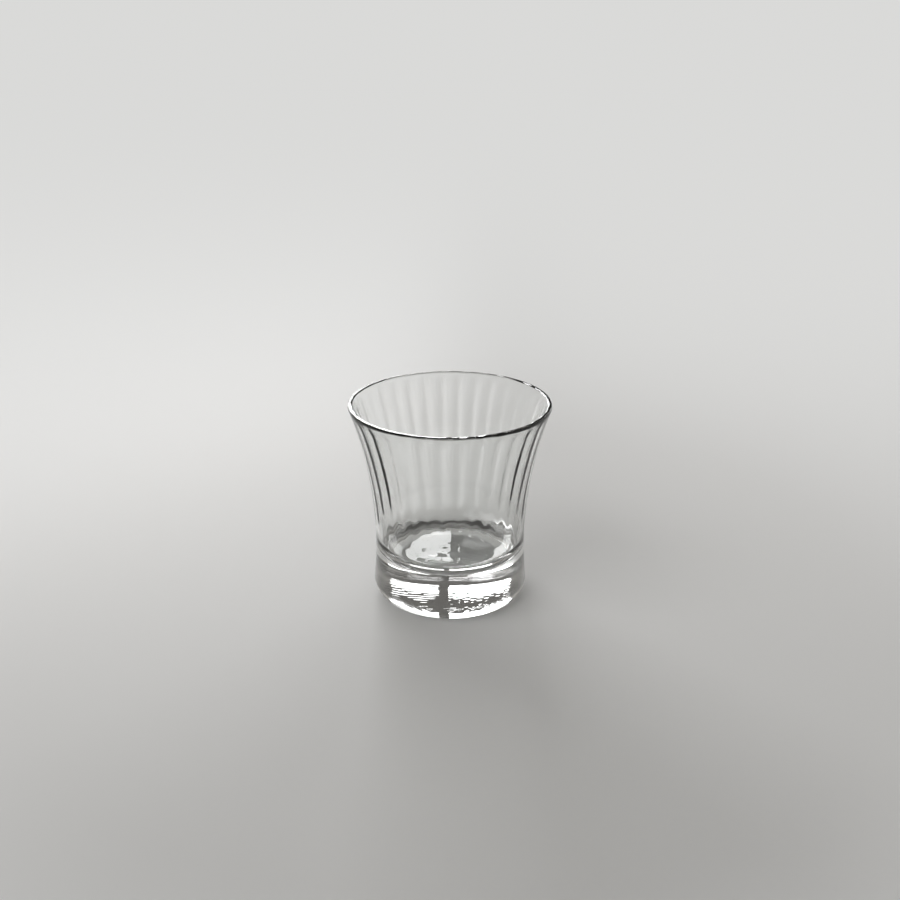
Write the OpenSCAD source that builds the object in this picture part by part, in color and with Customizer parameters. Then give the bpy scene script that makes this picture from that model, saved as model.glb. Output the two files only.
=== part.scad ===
// Shot glass: a ribbed, flared bowl standing on a thick solid foot of clear glass.
// The origin is the centre of the ring it stands on, and +Z runs up the glass's axis.
// Every outline below is a half section, with x as the radius and y as the height.

/* [Outside] */
// Height from the table to the top of the rim
height = 59.2; // [54:0.2:65]
// Diameter across the outside of the rim
rim_d = 58; // [52:0.5:62]
// Outside diameter at the waist, the narrowest place
waist_d = 44.3; // [41:0.1:47]
// Height of the waist
waist_z = 17.5; // [14:0.5:22]
// Radius that rounds the heel of the foot
heel_r = 4; // [2:0.5:6]

/* [Glass thickness] */
// Thickness of the rounded rim
bead_d = 1.4; // [1:0.1:2]
// Wall thickness at the waist, between the ribs
wall_t = 2; // [1.5:0.1:3]
// Thickness of the whole bottom, foot and bowl together
bottom_t = 12.2; // [12:0.2:16]
// Height of the solid foot, up to where the bowl is fused on
foot_h = 10.4; // [7:0.2:11]
// Radius inside the cup between its wall and its floor
floor_fillet_r = 6.8; // [3:0.2:8]

/* [Ribs] */
// Number of ribs round the inside
rib_count = 32; // [16:4:40]
// Height of a rib at the waist
rib_h = 0.25; // [0.2:0.05:0.6]
// Width of a rib at the waist
rib_w = 2.4; // [1.5:0.1:3]
// Depth below the rim where the ribs fade out
rib_fade = 2; // [1:0.5:6]

/* [Underside] */
// Diameter of the hollow in the underside, inside the ring it stands on
hollow_d = 26; // [10:1:30]
// Depth of that hollow at its centre
hollow_depth = 0.2; // [0.1:0.05:1]

/* [Hidden] */
$fn = 180;
waist_r = waist_d / 2;
bead_r = bead_d / 2;
bead_c = [rim_d / 2 - bead_r, height - bead_r];
// The cutter for the inside of the cup runs this far past the rim
overrun = 1;
// Facets round a rib's section
rib_fn = 36;

// Square of a number
function sq(v) = v * v;

// Radius of the wall arc that is upright at [x, waist_z] and touches the rim bead
// on its outer side (side = 1) or on its inner side (side = -1)
function wall_arc_r(x, side) =
    (sq(bead_c.x - x) + sq(bead_c.y - waist_z) - sq(bead_r)) / (2 * (bead_c.x - x + side * bead_r));

// Radius of the arc that is upright at [x, waist_z] and passes through p
function upright_arc_r(x, p) = (sq(p.x - x) + sq(p.y - waist_z)) / (2 * (p.x - x));

// Radius from the axis to an arc of centre c and radius r, at height z
function arc_x(c, r, z) = c.x - sqrt(sq(r) - sq(z - c.y));

// Centre, at height z, of a circle of radius r that touches an arc of centre c and radius arc_r
function resting_circle(c, arc_r, r, z) = [arc_x(c, arc_r + r, z), z];

// Point at distance r from p towards c
function towards(p, r, c) = p + r * (c - p) / norm(c - p);

// Outer and inner wall arcs
outer_arc_r = wall_arc_r(waist_r, 1);
outer_c = [waist_r + outer_arc_r, waist_z];
inner_waist_r = waist_r - wall_t;
inner_arc_r = wall_arc_r(inner_waist_r, -1);
inner_c = [inner_waist_r + inner_arc_r, waist_z];

// Roundings at the heel and round the cup's floor
heel_c = resting_circle(outer_c, outer_arc_r, heel_r, heel_r);
fillet_c = resting_circle(inner_c, inner_arc_r, floor_fillet_r, bottom_t + floor_fillet_r);

// A rib is part of a round bar, bent to an arc, that sinks into the wall near the rim
rib_bar_r = (sq(rib_w / 2) + sq(rib_h)) / (2 * rib_h);
rib_top_z = height - rib_fade;
crest_waist_r = inner_waist_r - rib_h;
crest_arc_r = upright_arc_r(crest_waist_r, [arc_x(inner_c, inner_arc_r, rib_top_z), rib_top_z]);
crest_c = [crest_waist_r + crest_arc_r, waist_z];

// The underside's hollow is a cap of this sphere
hollow_sphere_r = (sq(hollow_d / 2) + sq(hollow_depth)) / (2 * hollow_depth);

// Half section of the whole glass, filled in
module glass_section() {
    difference() {
        polygon([
            [0, 0],
            [heel_c.x, 0],
            heel_c,
            towards(heel_c, heel_r, outer_c),
            towards(bead_c, bead_r, outer_c),
            bead_c,
            [0, bead_c.y]
        ]);
        translate(outer_c)
            circle(r = outer_arc_r);
    }
    translate(heel_c)
        circle(r = heel_r);
}

// Half section of the space inside the cup
module cup_section() {
    difference() {
        polygon([
            [0, bottom_t],
            [fillet_c.x, bottom_t],
            fillet_c,
            towards(fillet_c, floor_fillet_r, inner_c),
            towards(bead_c, -bead_r, inner_c),
            bead_c,
            [bead_c.x, height + overrun],
            [0, height + overrun]
        ]);
        translate(inner_c)
            circle(r = inner_arc_r);
    }
    translate(fillet_c)
        circle(r = floor_fillet_r);
}

// One rib, as the bent round bar whose crest stands out of the cup's wall
module rib() {
    top_angle = 180 - asin((height - waist_z) / crest_arc_r);
    bottom_angle = 180 + asin((waist_z - bottom_t) / crest_arc_r);
    translate([crest_c.x, 0, crest_c.y])
        rotate([90, 0, 0])
            rotate_extrude(start = top_angle, angle = bottom_angle - top_angle)
                translate([crest_arc_r - rib_bar_r, 0])
                    circle(r = rib_bar_r, $fn = rib_fn);
}

// The space inside the cup, with the ribs left standing
module cup_space() {
    difference() {
        rotate_extrude()
            cup_section();
        for (i = [0 : rib_count - 1])
            rotate([0, 0, (i + 0.5) * 360 / rib_count])
                rib();
    }
}

// The blown cup, down to where it is fused to the foot
module bowl() {
    color("gainsboro", 0.45) {
        difference() {
            rotate_extrude()
                difference() {
                    glass_section();
                    square([rim_d, foot_h]);
                }
            cup_space();
        }
        rotate_extrude()
            translate(bead_c)
                circle(r = bead_r);
    }
}

// The solid foot with its rounded heel and hollow underside
module foot() {
    color("silver", 0.45)
        difference() {
            rotate_extrude()
                intersection() {
                    glass_section();
                    square([rim_d, foot_h]);
                }
            translate([0, 0, hollow_depth - hollow_sphere_r])
                sphere(r = hollow_sphere_r);
        }
}

bowl();
foot();
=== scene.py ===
"""Shot glass: the visible bowl and foot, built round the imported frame, with floor, lights and camera.

Lengths are in metres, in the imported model's own frame: the origin is the centre of the ring that
the glass stands on, +Z is up, and the camera looks along +Y and down.
"""

import math

import bpy
import numpy as np
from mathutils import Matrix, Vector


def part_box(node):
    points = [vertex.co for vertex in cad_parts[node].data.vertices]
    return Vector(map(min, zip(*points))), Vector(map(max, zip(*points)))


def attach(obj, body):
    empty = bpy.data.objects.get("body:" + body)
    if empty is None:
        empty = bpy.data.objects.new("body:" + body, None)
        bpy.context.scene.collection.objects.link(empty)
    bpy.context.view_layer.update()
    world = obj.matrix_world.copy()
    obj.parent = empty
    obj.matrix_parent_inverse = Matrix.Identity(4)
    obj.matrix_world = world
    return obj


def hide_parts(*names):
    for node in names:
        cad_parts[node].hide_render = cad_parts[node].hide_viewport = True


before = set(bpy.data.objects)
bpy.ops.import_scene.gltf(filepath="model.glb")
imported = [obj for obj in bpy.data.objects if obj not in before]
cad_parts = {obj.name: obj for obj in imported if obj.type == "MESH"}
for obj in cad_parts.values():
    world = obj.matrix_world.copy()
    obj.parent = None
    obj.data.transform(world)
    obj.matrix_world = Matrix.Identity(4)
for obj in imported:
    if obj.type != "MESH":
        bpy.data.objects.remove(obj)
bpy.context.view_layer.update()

MM = 0.001

# The frame's own sizes
RIM_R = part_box("bowl")[1].x
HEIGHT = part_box("bowl")[1].z
SEAM_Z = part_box("foot")[1].z

# The glass's other driving sizes, as the design has them
WAIST_R = 22.15 * MM
WAIST_Z = 17.5 * MM
HEEL_R = 4 * MM
BEAD_R = 0.7 * MM
WALL_T = 2 * MM
BOTTOM_T = 12.2 * MM
RIBS = 32
RIB_FADE = 2 * MM
HOLLOW_R = 13 * MM
HOLLOW_DEPTH = 0.2 * MM

# Where the visible glass differs a little from the design: the rounding round the cup's floor is drawn
# out, and the ribs are lower and meet the wall softly
FILLET_ACROSS = 8 * MM
FILLET_UP = 6.5 * MM
RIB_H = 0.22 * MM
RIB_SOFTNESS = 0.15 * MM

# The worked top of the rim: how high it sits over the bead's centre, the radius of its crown, how much
# the bead's shoulders are drawn up to it, how far it leans in (in degrees), how high its waves are, and
# how softly it meets the bead
RIM_FLAT = 0.58 * MM
RIM_CROWN = 8 * MM
RIM_SQUARING = 1.35
RIM_LEAN = 7
RIM_WAVE = 0.035 * MM
RIM_SOFTNESS = 0.08 * MM

# Height of the slow waves in the outer wall, and of the ripples in the underside
WALL_WAVE = 0.01 * MM
RIPPLE = 0.009 * MM

# Width of the underside's streaks, as a share of their length
STREAK_SQUEEZE = 0.35

# Seeds of the random waves
STREAK_SEED = 5
DIMPLE_SEED = 6
RIB_SEED = 11
WALL_SEED = 12
RIM_SEED = 13

# The glass: its index of refraction, its clearest tint, the roughness of its smears, and the height of
# the slow waves in its shading
GLASS_IOR = 1.52
CLEAREST = (0.99, 0.995, 0.99, 1)
SMEAR_ROUGHNESS = 0.02
BUMP_HEIGHT = 0.05 * MM

# Thickness and roughness of the worn layer on the ring that the glass stands on
WEAR = 0.05 * MM
WEAR_ROUGHNESS = 0.12

# Colour of the backdrop, and how far from the glass the floor starts and ends turning into it
BACKDROP = (0.7, 0.7, 0.69, 1)
SWEEP_START = 0.12
SWEEP_END = 4

# Brightness and colour of the dim room, brightness of the pale wall that stands round it, and the
# elevations between which the wall turns into the room's ceiling (in degrees)
ROOM = 0.12
ROOM_COLOUR = (1, 0.96, 0.9, 1)
WALL = 0.4
WALL_TOP_START = 20
WALL_TOP_END = 30

# Distance of the soft boxes, the directions between which the two at the back leave a dark gap (in
# degrees, to the right of straight behind the glass), and the share of the gap's width over which the
# wall beside it turns pale
BOX_DISTANCE = 40
GAP_LEFT = 0.2
GAP_RIGHT = 5.5
GAP_FADE = 0.25

# The camera: how far in front of the glass it stands and how high, and how far down it looks (in degrees)
CAMERA_BACK = 269 * MM
CAMERA_UP = 152.5 * MM
CAMERA_DOWN = 21.92

# How many times a ray of light may bounce or pass through a surface
BOUNCES = 32

# Mesh density: columns round the glass, and rows across the fused face
COLUMNS = RIBS * 16
ANGLES = np.arange(COLUMNS) * 2 * math.pi / COLUMNS
SEAM_ROWS = 8


def smoothstep(low, high, value):
    """0 below low, 1 above high, and a smooth rise between them."""
    t = np.clip((value - low) / (high - low), 0, 1)
    return t * t * (3 - 2 * t)


# ---- The half section: x is the radius, y the height ----

BEAD_C = np.array([RIM_R - BEAD_R, HEIGHT - BEAD_R])


def wall_arc_radius(x, side):
    """Radius of the arc that is upright at (x, WAIST_Z) and touches the rim bead on that side."""
    across, up = BEAD_C[0] - x, BEAD_C[1] - WAIST_Z
    return (across**2 + up**2 - BEAD_R**2) / (2 * (across + side * BEAD_R))


def arc_x(centre, radius, z):
    """Radius from the axis to an arc, at height z."""
    return centre[0] - np.sqrt(radius**2 - (z - centre[1]) ** 2)


def resting_circle(centre, arc_radius, radius, z):
    """Centre, at height z, of a circle that touches an arc."""
    return np.array([arc_x(centre, arc_radius + radius, z), z])


def touch(point, radius, centre):
    """The point at distance radius from point towards centre."""
    along = centre - point
    return point + radius * along / np.linalg.norm(along)


OUTER_ARC_R = wall_arc_radius(WAIST_R, 1)
OUTER_C = np.array([WAIST_R + OUTER_ARC_R, WAIST_Z])
INNER_WAIST_R = WAIST_R - WALL_T
INNER_ARC_R = wall_arc_radius(INNER_WAIST_R, -1)
INNER_C = np.array([INNER_WAIST_R + INNER_ARC_R, WAIST_Z])
HEEL_C = resting_circle(OUTER_C, OUTER_ARC_R, HEEL_R, HEEL_R)
FILLET_TOP = BOTTOM_T + FILLET_UP
FILLET_X = arc_x(INNER_C, INNER_ARC_R, FILLET_TOP) - FILLET_ACROSS
HEEL_TOUCH = touch(HEEL_C, HEEL_R, OUTER_C)
BEAD_OUTER = touch(BEAD_C, BEAD_R, OUTER_C)
BEAD_INNER = touch(BEAD_C, -BEAD_R, INNER_C)


def angle_of(point, centre):
    """The angle at which a point stands round a centre, from 0 to a whole turn."""
    return math.atan2(point[1] - centre[1], point[0] - centre[0]) % (2 * math.pi)


def circle_points(centre, radius, start, end, rows):
    """Points round a circle, from one angle to another, without the first."""
    angles = np.linspace(start, end, rows + 1)[1:]
    return np.stack([centre[0] + radius * np.cos(angles), centre[1] + radius * np.sin(angles)], 1)


def fillet_points(rows):
    """Points round the cup's floor, on a quarter of an ellipse from the wall down, without the first."""
    angles = np.linspace(0, math.pi / 2, rows + 1)[1:]
    return np.stack([FILLET_X + FILLET_ACROSS * np.cos(angles), FILLET_TOP - FILLET_UP * np.sin(angles)], 1)


def wall_points(centre, radius, start_z, end_z, rows):
    """Points along a wall arc, from one height to another, without the first."""
    heights = np.linspace(start_z, end_z, rows + 1)[1:]
    return np.stack([arc_x(centre, radius, heights), heights], 1)


def level_points(start_x, end_x, z, rows):
    """Points along a level line, without the first."""
    radii = np.linspace(start_x, end_x, rows + 1)[1:]
    return np.stack([radii, np.full(rows, z)], 1)


# ---- Surface relief: the small waves that a real, hot-worked glass has ----

def waves(x, y, seed, size, count=7):
    """A smooth uneven surface of about -1 to 1, as a sum of plane waves about size long."""
    random = np.random.default_rng(seed)
    total = np.zeros_like(x)
    for _ in range(count):
        heading, phase = random.uniform(0, 2 * math.pi, 2)
        length = size * random.uniform(0.7, 1.5)
        along = x * math.cos(heading) + y * math.sin(heading)
        total += np.sin(2 * math.pi * along / length + phase)
    return total / math.sqrt(count)


def streaky(angle, z, seed, size):
    """Waves round the glass, drawn out upwards as blown glass has them."""
    return waves(WAIST_R * np.cos(angle) + 0.2 * z, WAIST_R * np.sin(angle) + 0.15 * z, seed, size)


def ribs(angle, z):
    """How far the ribs stand in from the cup's wall: uneven, and faded out towards rim and floor."""
    crest = (0.5 - 0.5 * np.cos(RIBS * angle)) ** 1.2
    below_rim = 1 - smoothstep(HEIGHT - RIB_FADE - 1.5 * MM, HEIGHT - RIB_FADE * 0.4, z)
    above_floor = smoothstep(WAIST_Z, HEIGHT * 0.75, z)
    streaks = streaky(angle, z, RIB_SEED, size=9 * MM)
    return RIB_H * crest * below_rim * above_floor * (1 + 0.25 * streaks)


def uneven_wall(angle, z):
    """The slow waves of the outer wall, which die away at the rim."""
    below_rim = 1 - smoothstep(HEIGHT - 6 * MM, HEIGHT - 2 * MM, z)
    return WALL_WAVE * streaky(angle, z, WALL_SEED, size=6 * MM) * below_rim


def soft_min(a, b, softness):
    """The lesser of two lengths, with the corner between them rounded."""
    h = np.clip(0.5 + 0.5 * (b - a) / softness, 0, 1)
    return b + (a - b) * h - softness * h * (1 - h)


# ---- Meshes ----

def revolved(name, grid, seam_rows):
    """A closed mesh from a grid of points whose first and last rows lie on the axis.

    grid is an array of rows, columns and x, y, z. The first seam_rows rows of faces get the second
    material, and their outer edge stays sharp.
    """
    rings = grid[1:-1]
    first_pole = grid[0].mean(0)
    last_pole = grid[-1].mean(0)
    vertices = np.concatenate([rings.reshape(-1, 3), [first_pole, last_pole]])
    first = len(vertices) - 2
    last = len(vertices) - 1
    neighbours = [(column, (column + 1) % COLUMNS) for column in range(COLUMNS)]
    faces = [(first, b, a) for a, b in neighbours]
    for ring in range(len(rings) - 1):
        low = ring * COLUMNS
        high = low + COLUMNS
        faces += [(low + a, low + b, high + b, high + a) for a, b in neighbours]
    top = (len(rings) - 1) * COLUMNS
    faces += [(top + a, top + b, last) for a, b in neighbours]
    mesh = bpy.data.meshes.new(name)
    mesh.from_pydata(vertices.tolist(), [], faces)
    mesh.polygons.foreach_set("use_smooth", [True] * len(faces))
    on_seam = np.arange(len(faces)) < seam_rows * COLUMNS
    mesh.polygons.foreach_set("material_index", on_seam.astype(np.int32))
    edges = np.zeros(len(mesh.edges) * 2, np.int32)
    mesh.edges.foreach_get("vertices", edges)
    edge_row = (seam_rows - 1) * COLUMNS
    on_edge = (edges.reshape(-1, 2) >= edge_row) & (edges.reshape(-1, 2) < edge_row + COLUMNS)
    sharp = mesh.attributes.new("sharp_edge", "BOOLEAN", "EDGE")
    sharp.data.foreach_set("value", on_edge.all(1))
    mesh.update()
    piece = bpy.data.objects.new(name, mesh)
    bpy.context.scene.collection.objects.link(piece)
    return piece


def spun(section):
    """The section's points turned round the axis: radius, height and angle grids."""
    radius = np.repeat(section[:, :1], COLUMNS, 1)
    height = np.repeat(section[:, 1:], COLUMNS, 1)
    angle = np.repeat(ANGLES[None, :], len(section), 0)
    return radius, height, angle


def grid_points(radius, height, angle):
    """Radius, height and angle grids as x, y, z points."""
    return np.stack([radius * np.cos(angle), radius * np.sin(angle), height], 2)


def flattened_rim(radius, height, angle):
    """The rim bead with the nearly flat, wavy top of a cut and fire-polished rim.

    The top is slightly crowned and leans inwards. Its waves come from the ribs and from the cutting.
    """
    lean = math.radians(RIM_LEAN)
    cutting = streaky(angle, 0, RIM_SEED, size=10 * MM)
    level = RIM_FLAT + RIM_WAVE * (0.5 * np.cos(RIBS * angle + 1) + cutting)
    across, up = radius - BEAD_C[0], height - BEAD_C[1]
    up = up * np.where(up > 0, RIM_SQUARING, 1)
    along = up * math.cos(lean) - across * math.sin(lean)
    cut = along - soft_min(along, level - across**2 / (2 * RIM_CROWN), RIM_SOFTNESS)
    return radius + cut * math.sin(lean), BEAD_C[1] + up - cut * math.cos(lean)


def make_bowl():
    """The blown cup: seam disc, outer wall, rim bead, ribbed inner wall and floor."""
    seam_x = arc_x(OUTER_C, OUTER_ARC_R, SEAM_Z)
    seam = level_points(0, seam_x, SEAM_Z, SEAM_ROWS)
    outer = wall_points(OUTER_C, OUTER_ARC_R, SEAM_Z, BEAD_OUTER[1], rows=44)
    bead_start = angle_of(BEAD_OUTER, BEAD_C) - 2 * math.pi
    bead = circle_points(BEAD_C, BEAD_R, bead_start, angle_of(BEAD_INNER, BEAD_C), rows=32)
    inner = wall_points(INNER_C, INNER_ARC_R, BEAD_INNER[1], FILLET_TOP, rows=56)
    fillet = fillet_points(rows=24)
    floor = level_points(FILLET_X, 0, BOTTOM_T, rows=14)
    section = np.concatenate([[[0, SEAM_Z]], seam, outer, bead, inner, fillet, floor])
    radius, height, angle = spun(section)
    first_outer = 1 + len(seam)
    first_bead = first_outer + len(outer)
    first_inner = first_bead + len(bead)
    outside = slice(first_outer - 1, first_bead)
    radius[outside] += uneven_wall(angle[outside], height[outside])
    rim = slice(first_bead, first_inner)
    radius[rim], height[rim] = flattened_rim(radius[rim], height[rim], angle[rim])
    inside = slice(first_inner, first_inner + len(inner) + len(fillet))
    ribbed = arc_x(INNER_C, INNER_ARC_R, height[inside]) - ribs(angle[inside], height[inside])
    radius[inside] = soft_min(radius[inside], ribbed, RIB_SOFTNESS)
    return revolved("ribbed_bowl", grid_points(radius, height, angle), len(seam))


def underside_ripple(x, y):
    """The ripples of the underside: long streaks on the left, and finer dimples on the right."""
    streaks = waves(x * STREAK_SQUEEZE, y, STREAK_SEED, size=1.5 * MM)
    dimples = waves(x, y, DIMPLE_SEED, size=1.4 * MM)
    side = smoothstep(-3 * MM, 3 * MM, x)
    return RIPPLE * (streaks * (1 - side) + dimples * side)


def make_foot():
    """The solid foot: seam disc, outer wall, heel, standing ring and rippled hollow."""
    seam_x = arc_x(OUTER_C, OUTER_ARC_R, SEAM_Z)
    seam = level_points(0, seam_x, SEAM_Z, SEAM_ROWS)
    wall = wall_points(OUTER_C, OUTER_ARC_R, SEAM_Z, HEEL_TOUCH[1], rows=16)
    heel_start = angle_of(HEEL_TOUCH, HEEL_C)
    heel = circle_points(HEEL_C, HEEL_R, heel_start, -0.5 * math.pi, rows=30)
    ring = level_points(HEEL_C[0], HOLLOW_R, 0, rows=20)
    hollow = level_points(HOLLOW_R, 0, 0, rows=76)
    sphere_r = (HOLLOW_R**2 + HOLLOW_DEPTH**2) / (2 * HOLLOW_DEPTH)
    hollow[:, 1] = HOLLOW_DEPTH - sphere_r + np.sqrt(sphere_r**2 - hollow[:, 0] ** 2)
    section = np.concatenate([[[0, SEAM_Z]], seam, wall, heel, ring, hollow])
    radius, height, angle = spun(section)
    outside = slice(len(seam), 1 + len(seam) + len(wall) + len(heel) // 2)
    radius[outside] += uneven_wall(angle[outside], height[outside])
    below = slice(len(section) - len(ring) - len(hollow), None)
    lift = underside_ripple(radius[below] * np.cos(angle[below]), radius[below] * np.sin(angle[below]))
    height[below] = np.maximum(height[below] + lift * smoothstep(0, 2 * MM, HEEL_C[0] - radius[below]), 0)
    # The outline runs down the outside, so the columns are turned round to face outwards
    return revolved("solid_foot", grid_points(radius, height, angle)[:, ::-1], len(seam))


# ---- Materials ----

def new_material(name):
    """An empty node material, with its nodes and its output."""
    material = bpy.data.materials.new(name)
    material.use_nodes = True
    material.node_tree.nodes.clear()
    output = material.node_tree.nodes.new("ShaderNodeOutputMaterial")
    return material, material.node_tree, output


def glass_material(name, deep_tint, wave_size):
    """Clear glass with a faint uneven cast, slow waves in its surface, and wear where it stands."""
    material, tree, output = new_material(name)
    shader = tree.nodes.new("ShaderNodeBsdfPrincipled")
    shader.inputs["Transmission Weight"].default_value = 1.0
    shader.inputs["IOR"].default_value = GLASS_IOR
    place = tree.nodes.new("ShaderNodeTexCoord")
    cloud = tree.nodes.new("ShaderNodeTexNoise")
    cloud.inputs["Scale"].default_value = 60
    tint = tree.nodes.new("ShaderNodeValToRGB")
    tint.color_ramp.elements[0].color = deep_tint
    tint.color_ramp.elements[1].color = CLEAREST
    smear = tree.nodes.new("ShaderNodeMapRange")
    smear.inputs["To Max"].default_value = SMEAR_ROUGHNESS
    parts = tree.nodes.new("ShaderNodeSeparateXYZ")
    wear = tree.nodes.new("ShaderNodeMapRange")
    wear.inputs["From Max"].default_value = WEAR
    wear.inputs["To Min"].default_value = WEAR_ROUGHNESS
    wear.inputs["To Max"].default_value = 0
    roughness = tree.nodes.new("ShaderNodeMath")
    roughness.operation = "MAXIMUM"
    ripple = tree.nodes.new("ShaderNodeTexNoise")
    ripple.inputs["Scale"].default_value = 1 / wave_size
    ripple.inputs["Detail"].default_value = 1.5
    bump = tree.nodes.new("ShaderNodeBump")
    bump.inputs["Distance"].default_value = BUMP_HEIGHT
    link = tree.links.new
    link(place.outputs["Object"], cloud.inputs["Vector"])
    link(place.outputs["Object"], ripple.inputs["Vector"])
    link(place.outputs["Object"], parts.inputs["Vector"])
    link(cloud.outputs["Fac"], tint.inputs["Fac"])
    link(tint.outputs["Color"], shader.inputs["Base Color"])
    link(cloud.outputs["Fac"], smear.inputs["Value"])
    link(parts.outputs["Z"], wear.inputs["Value"])
    link(smear.outputs["Result"], roughness.inputs[0])
    link(wear.outputs["Result"], roughness.inputs[1])
    link(roughness.outputs["Value"], shader.inputs["Roughness"])
    link(ripple.outputs["Fac"], bump.inputs["Height"])
    link(bump.outputs["Normal"], shader.inputs["Normal"])
    link(shader.outputs["BSDF"], output.inputs["Surface"])
    return material


def seam_material():
    """The fused face between bowl and foot, which light passes straight through."""
    material, tree, output = new_material("fused_seam")
    shader = tree.nodes.new("ShaderNodeBsdfTransparent")
    tree.links.new(shader.outputs["BSDF"], output.inputs["Surface"])
    return material


def floor_material():
    """Plain pale satin floor that turns into the backdrop with distance, as a studio sweep does.

    The change follows one over the distance, so that it looks even from the camera.
    """
    material, tree, output = new_material("pale_floor")
    shader = tree.nodes.new("ShaderNodeBsdfPrincipled")
    shader.inputs["Base Color"].default_value = (0.78, 0.78, 0.77, 1)
    shader.inputs["Roughness"].default_value = 0.45
    shader.inputs["Specular IOR Level"].default_value = 0.38
    sweep = tree.nodes.new("ShaderNodeEmission")
    sweep.inputs["Color"].default_value = BACKDROP
    place = tree.nodes.new("ShaderNodeTexCoord")
    distance = tree.nodes.new("ShaderNodeVectorMath")
    distance.operation = "LENGTH"
    nearness = tree.nodes.new("ShaderNodeMath")
    nearness.operation = "DIVIDE"
    nearness.inputs[0].default_value = 1
    fade = tree.nodes.new("ShaderNodeMapRange")
    fade.interpolation_type = "SMOOTHSTEP"
    fade.inputs["From Min"].default_value = 1 / SWEEP_END
    fade.inputs["From Max"].default_value = 1 / SWEEP_START
    fade.inputs["To Min"].default_value = 1
    fade.inputs["To Max"].default_value = 0
    mix = tree.nodes.new("ShaderNodeMixShader")
    link = tree.links.new
    link(place.outputs["Object"], distance.inputs[0])
    link(distance.outputs["Value"], nearness.inputs[1])
    link(nearness.outputs["Value"], fade.inputs["Value"])
    link(fade.outputs["Result"], mix.inputs["Fac"])
    link(shader.outputs["BSDF"], mix.inputs[1])
    link(sweep.outputs["Emission"], mix.inputs[2])
    link(mix.outputs["Shader"], output.inputs["Surface"])
    return material


# ---- The scene ----

def make_floor():
    """A plain floor that reaches past the top of the picture, a hair below the glass."""
    reach = 60
    drop = 0.05 * MM
    mesh = bpy.data.meshes.new("floor")
    signs = ((-1, -1), (1, -1), (1, 1), (-1, 1))
    corners = [(reach * x, reach * y, -drop) for x, y in signs]
    mesh.from_pydata(corners, [], [(0, 1, 2, 3)])
    mesh.materials.append(floor_material())
    floor = bpy.data.objects.new("floor", mesh)
    bpy.context.scene.collection.objects.link(floor)
    return floor


def soft_box(name, left, right, low, high, radiance):
    """An upright soft box that faces the glass, placed by the angles it takes up as seen from there.

    Its left and right edges stand in the directions left and right, where 0 is straight behind the
    glass and + is to the right. Its lower and upper edges stand at the elevations low and high. All
    angles are in degrees.
    """
    bottom = BOX_DISTANCE * math.tan(math.radians(low))
    top = BOX_DISTANCE * math.tan(math.radians(high))
    light = bpy.data.lights.new(name, "AREA")
    light.shape = "RECTANGLE"
    light.size = 2 * BOX_DISTANCE * math.tan(math.radians((right - left) / 2))
    light.size_y = top - bottom
    light.energy = radiance * math.pi * light.size * light.size_y
    lamp = bpy.data.objects.new(name, light)
    heading = math.radians((left + right) / 2)
    middle = (bottom + top) / 2
    lamp.location = (BOX_DISTANCE * math.sin(heading), BOX_DISTANCE * math.cos(heading), middle)
    lamp.rotation_euler = (math.radians(90), 0, math.pi - heading)
    lamp.visible_camera = False
    bpy.context.scene.collection.objects.link(lamp)


def make_lights():
    """Two soft boxes behind the glass with a narrow gap between them, and a high one in front."""
    soft_box("back_left", left=-42, right=GAP_LEFT, low=4, high=29.5, radiance=6)
    soft_box("back_right", left=GAP_RIGHT, right=40.9, low=4, high=29.5, radiance=2.6)
    soft_box("front_left", left=-155, right=-95, low=35, high=60, radiance=2.2)


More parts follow.
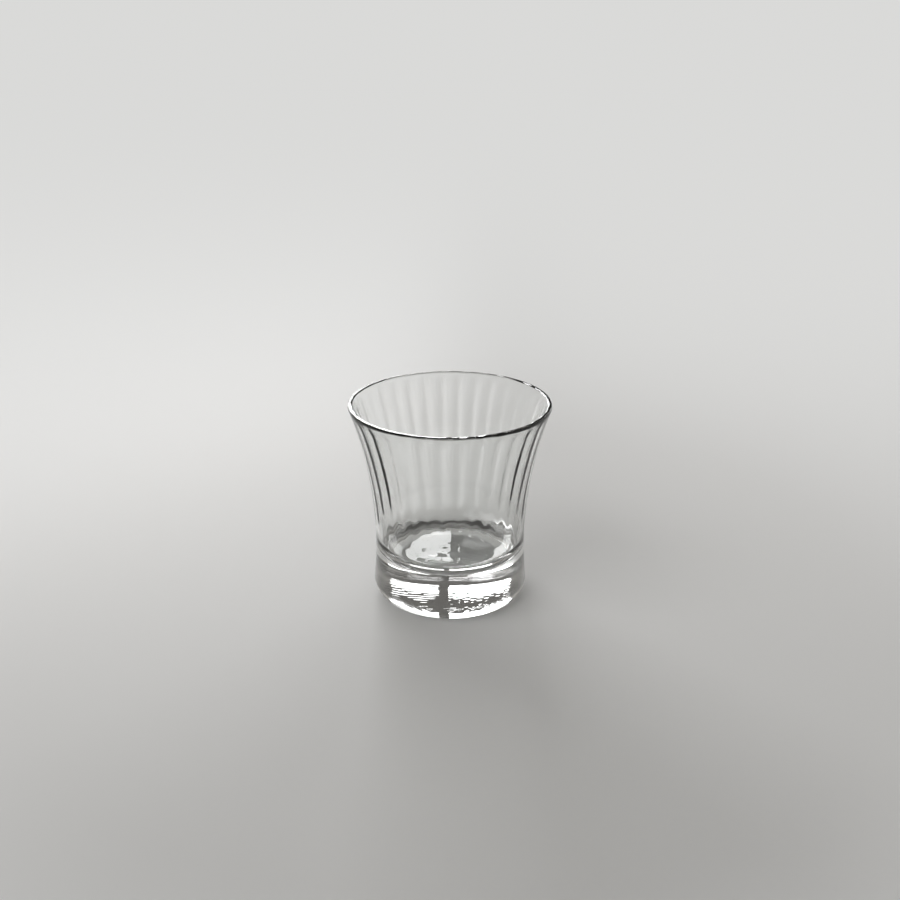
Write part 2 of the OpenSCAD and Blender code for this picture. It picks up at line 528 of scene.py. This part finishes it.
def make_world():
    """A dim ceiling over a pale wall all round, which is left dark in the gap between the boxes."""
    gap_middle = math.radians((GAP_LEFT + GAP_RIGHT) / 2)
    gap_half = math.radians((GAP_RIGHT - GAP_LEFT) / 2)
    world = bpy.data.worlds.new("studio")
    world.use_nodes = True
    tree = world.node_tree
    link = tree.links.new
    way = tree.nodes.new("ShaderNodeTexCoord")
    parts = tree.nodes.new("ShaderNodeSeparateXYZ")
    azimuth = tree.nodes.new("ShaderNodeMath")
    azimuth.operation = "ARCTAN2"
    from_gap = tree.nodes.new("ShaderNodeMath")
    from_gap.operation = "SUBTRACT"
    from_gap.inputs[1].default_value = gap_middle
    off_gap = tree.nodes.new("ShaderNodeMath")
    off_gap.operation = "ABSOLUTE"
    beside = tree.nodes.new("ShaderNodeMapRange")
    beside.inputs["From Min"].default_value = gap_half
    beside.inputs["From Max"].default_value = gap_half * (1 + 2 * GAP_FADE)
    beside.inputs["To Min"].default_value = ROOM
    beside.inputs["To Max"].default_value = WALL
    upwards = tree.nodes.new("ShaderNodeMapRange")
    upwards.inputs["From Min"].default_value = math.sin(math.radians(WALL_TOP_START))
    upwards.inputs["From Max"].default_value = math.sin(math.radians(WALL_TOP_END))
    upwards.inputs["To Max"].default_value = ROOM
    room = tree.nodes["Background"]
    room.inputs["Color"].default_value = ROOM_COLOUR
    backdrop = tree.nodes.new("ShaderNodeBackground")
    backdrop.inputs["Color"].default_value = BACKDROP
    seen = tree.nodes.new("ShaderNodeLightPath")
    mix = tree.nodes.new("ShaderNodeMixShader")
    link(way.outputs["Generated"], parts.inputs["Vector"])
    link(parts.outputs["X"], azimuth.inputs[0])
    link(parts.outputs["Y"], azimuth.inputs[1])
    link(azimuth.outputs["Value"], from_gap.inputs[0])
    link(from_gap.outputs["Value"], off_gap.inputs[0])
    link(off_gap.outputs["Value"], beside.inputs["Value"])
    link(parts.outputs["Z"], upwards.inputs["Value"])
    link(beside.outputs["Result"], upwards.inputs["To Min"])
    link(upwards.outputs["Result"], room.inputs["Strength"])
    link(seen.outputs["Is Camera Ray"], mix.inputs["Fac"])
    link(room.outputs["Background"], mix.inputs[1])
    link(backdrop.outputs["Background"], mix.inputs[2])
    link(mix.outputs["Shader"], tree.nodes["World Output"].inputs["Surface"])
    bpy.context.scene.world = world


def make_camera():
    """The camera of the picture: in front of the glass and above it, looking down on it."""
    data = bpy.data.cameras.new("camera")
    data.lens = 40
    data.sensor_width = 36
    data.clip_start = 0.01
    data.clip_end = 200
    camera = bpy.data.objects.new("camera", data)
    camera.location = (0, -CAMERA_BACK, CAMERA_UP)
    camera.rotation_euler = (math.radians(90 - CAMERA_DOWN), 0, 0)
    bpy.context.scene.collection.objects.link(camera)
    bpy.context.scene.camera = camera


make_camera()
make_lights()
make_world()
floor = make_floor()

bowl = make_bowl()
bowl_glass = glass_material("bowl_glass", deep_tint=(0.965, 0.975, 0.97, 1), wave_size=6 * MM)
bowl.data.materials.append(bowl_glass)
foot = make_foot()
foot_glass = glass_material("foot_glass", deep_tint=(0.95, 0.965, 0.955, 1), wave_size=5 * MM)
foot.data.materials.append(foot_glass)
fused = seam_material()
for piece, node in ((bowl, "bowl"), (foot, "foot")):
    piece.data.materials.append(fused)
    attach(piece, "root")
    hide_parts(node)

scene = bpy.context.scene
scene.cycles.max_bounces = BOUNCES
scene.cycles.transmission_bounces = BOUNCES
scene.cycles.transparent_max_bounces = BOUNCES
scene.view_settings.view_transform = "Standard"
